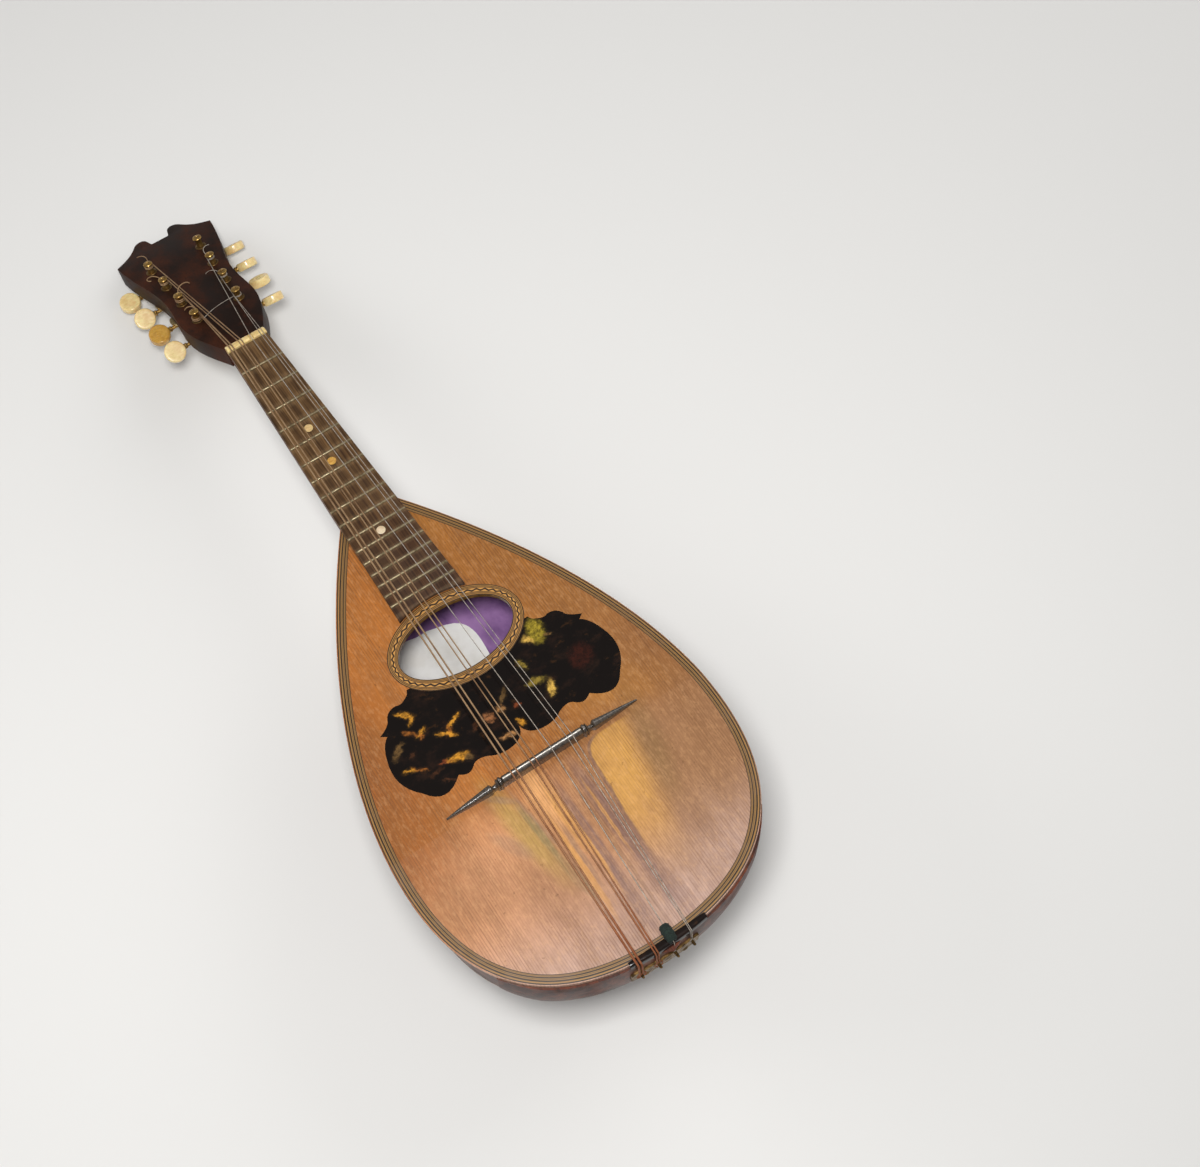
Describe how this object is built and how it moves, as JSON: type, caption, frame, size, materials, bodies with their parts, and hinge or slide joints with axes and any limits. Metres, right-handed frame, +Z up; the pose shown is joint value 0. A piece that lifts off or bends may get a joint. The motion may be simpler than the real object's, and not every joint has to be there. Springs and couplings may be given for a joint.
{
  "type": "bowlback mandolin",
  "caption": "Bowlback mandolin with a ribbed bowl, bent spruce soundboard, oval soundhole, shell pickguard, pitched head and geared tuners that turn their string posts.",
  "frame": {"origin": "middle of the bounding box at the surface the mandolin lies on, on its back", "axes": "+Y along the neck towards the head, +X to the side of the thin strings, +Z up out of the soundboard"},
  "size_m": [0.201, 0.609, 0.1452],
  "materials": {
    "spruce": "aged varnish",
    "rosewood": "french polish",
    "fingerboard": "worn",
    "head_veneer": "gloss",
    "bone": "polished",
    "amber_bone": "polished",
    "brass": "tarnished",
    "wound_wire": "tarnished",
    "steel_wire": "polished",
    "shell": "gloss",
    "ebony": "gloss",
    "blockwood": "raw",
    "inlay": "satin",
    "paper": "matt paper",
    "label": "matt paper",
    "felt": "felt"
  },
  "bodies": {
    "instrument": {"soundboard": "spruce", "rosette": "inlay", "pickguard": "shell", "edge_guard": "shell", "bridge": "ebony", "fingerboard": "fingerboard", "nut": "bone", "neck": "rosewood", "neck_block": "blockwood", "tail_block": "blockwood", "clasp": "rosewood", "paper_lining": "paper", "label": "label", "hitch_plate": "brass", "tail_felt": "felt", "bowl_rib_1": "rosewood", "bowl_rib_2": "rosewood", "bowl_rib_3": "rosewood", "bowl_rib_4": "rosewood", "bowl_rib_5": "rosewood", "bowl_rib_6": "rosewood", "bowl_rib_7": "rosewood", "bowl_rib_8": "rosewood", "bowl_rib_9": "rosewood", "brace_above_hole": "blockwood", "brace_below_hole": "blockwood", "string_G_outer": "wound_wire", "string_G_inner": "wound_wire", "string_D_outer": "wound_wire", "string_D_inner": "wound_wire", "string_A": "steel_wire", "string_E_inner": "steel_wire", "string_E_outer": "steel_wire", "headstock": "head_veneer", "tuner_plate_bass": "brass", "tuner_plate_treble": "brass"},
    "tuner_key_bass_1": {"worm_shaft_bass_1": "brass", "tuner_button_bass_1": "bone"},
    "tuner_gear_bass_1": {"tuner_post_bass_1": "brass"},
    "tuner_key_bass_2": {"worm_shaft_bass_2": "brass", "tuner_button_bass_2": "amber_bone"},
    "tuner_gear_bass_2": {"tuner_post_bass_2": "brass"},
    "tuner_key_bass_3": {"worm_shaft_bass_3": "brass", "tuner_button_bass_3": "bone"},
    "tuner_gear_bass_3": {"tuner_post_bass_3": "brass"},
    "tuner_key_bass_4": {"worm_shaft_bass_4": "brass", "tuner_button_bass_4": "bone"},
    "tuner_gear_bass_4": {"tuner_post_bass_4": "brass"},
    "tuner_key_treble_1": {"worm_shaft_treble_1": "brass", "tuner_button_treble_1": "bone"},
    "tuner_gear_treble_1": {"tuner_post_treble_1": "brass"},
    "tuner_key_treble_2": {"worm_shaft_treble_2": "brass", "tuner_button_treble_2": "bone"},
    "tuner_gear_treble_2": {"tuner_post_treble_2": "brass"},
    "tuner_key_treble_3": {"worm_shaft_treble_3": "brass", "tuner_button_treble_3": "bone"},
    "tuner_gear_treble_3": {"tuner_post_treble_3": "brass"},
    "tuner_key_treble_4": {"worm_shaft_treble_4": "brass", "tuner_button_treble_4": "bone"},
    "tuner_gear_treble_4": {"tuner_post_treble_4": "brass"}
  },
  "joints": [
    {"name": "key_turn_bass_1", "type": "hinge", "parent": "instrument", "child": "tuner_key_bass_1", "pos_m": [-0.01526, 0.19975, 0.04498], "axis": [-0.999, -0.0405, 0.0204], "continuous": true},
    {"name": "gear_turn_bass_1", "type": "hinge", "parent": "instrument", "child": "tuner_gear_bass_1", "pos_m": [-0.0149, 0.20046, 0.06411], "axis": [0, 0.4504, 0.8928], "continuous": true},
    {"name": "key_turn_bass_2", "type": "hinge", "parent": "instrument", "child": "tuner_key_bass_2", "pos_m": [-0.01641, 0.22232, 0.03359], "axis": [-0.999, -0.0405, 0.0204], "continuous": true},
    {"name": "gear_turn_bass_2", "type": "hinge", "parent": "instrument", "child": "tuner_gear_bass_2", "pos_m": [-0.01605, 0.22302, 0.05273], "axis": [0, 0.4504, 0.8928], "continuous": true},
    {"name": "key_turn_bass_3", "type": "hinge", "parent": "instrument", "child": "tuner_key_bass_3", "pos_m": [-0.01756, 0.24488, 0.02221], "axis": [-0.999, -0.0405, 0.0204], "continuous": true},
    {"name": "gear_turn_bass_3", "type": "hinge", "parent": "instrument", "child": "tuner_gear_bass_3", "pos_m": [-0.01719, 0.24559, 0.04134], "axis": [0, 0.4504, 0.8928], "continuous": true},
    {"name": "key_turn_bass_4", "type": "hinge", "parent": "instrument", "child": "tuner_key_bass_4", "pos_m": [-0.01871, 0.26745, 0.01083], "axis": [-0.999, -0.0405, 0.0204], "continuous": true},
    {"name": "gear_turn_bass_4", "type": "hinge", "parent": "instrument", "child": "tuner_gear_bass_4", "pos_m": [-0.01834, 0.26815, 0.02996], "axis": [0, 0.4504, 0.8928], "continuous": true},
    {"name": "key_turn_treble_1", "type": "hinge", "parent": "instrument", "child": "tuner_key_treble_1", "pos_m": [0.01526, 0.19975, 0.04498], "axis": [0.999, -0.0405, 0.0204], "continuous": true},
    {"name": "gear_turn_treble_1", "type": "hinge", "parent": "instrument", "child": "tuner_gear_treble_1", "pos_m": [0.0149, 0.20046, 0.06411], "axis": [0, 0.4504, 0.8928], "continuous": true},
    {"name": "key_turn_treble_2", "type": "hinge", "parent": "instrument", "child": "tuner_key_treble_2", "pos_m": [0.01641, 0.22232, 0.03359], "axis": [0.999, -0.0405, 0.0204], "continuous": true},
    {"name": "gear_turn_treble_2", "type": "hinge", "parent": "instrument", "child": "tuner_gear_treble_2", "pos_m": [0.01605, 0.22302, 0.05273], "axis": [0, 0.4504, 0.8928], "continuous": true},
    {"name": "key_turn_treble_3", "type": "hinge", "parent": "instrument", "child": "tuner_key_treble_3", "pos_m": [0.01756, 0.24488, 0.02221], "axis": [0.999, -0.0405, 0.0204], "continuous": true},
    {"name": "gear_turn_treble_3", "type": "hinge", "parent": "instrument", "child": "tuner_gear_treble_3", "pos_m": [0.01719, 0.24559, 0.04134], "axis": [0, 0.4504, 0.8928], "continuous": true},
    {"name": "key_turn_treble_4", "type": "hinge", "parent": "instrument", "child": "tuner_key_treble_4", "pos_m": [0.01871, 0.26745, 0.01083], "axis": [0.999, -0.0405, 0.0204], "continuous": true},
    {"name": "gear_turn_treble_4", "type": "hinge", "parent": "instrument", "child": "tuner_gear_treble_4", "pos_m": [0.01834, 0.26815, 0.02996], "axis": [0, 0.4504, 0.8928], "continuous": true}
  ],
  "couplings": [
    {"joint": "gear_turn_bass_1", "follows": "key_turn_bass_1", "ratio": 0.071429},
    {"joint": "gear_turn_bass_2", "follows": "key_turn_bass_2", "ratio": 0.071429},
    {"joint": "gear_turn_bass_3", "follows": "key_turn_bass_3", "ratio": 0.071429},
    {"joint": "gear_turn_bass_4", "follows": "key_turn_bass_4", "ratio": 0.071429},
    {"joint": "gear_turn_treble_1", "follows": "key_turn_treble_1", "ratio": 0.071429},
    {"joint": "gear_turn_treble_2", "follows": "key_turn_treble_2", "ratio": 0.071429},
    {"joint": "gear_turn_treble_3", "follows": "key_turn_treble_3", "ratio": 0.071429},
    {"joint": "gear_turn_treble_4", "follows": "key_turn_treble_4", "ratio": 0.071429}
  ]
}
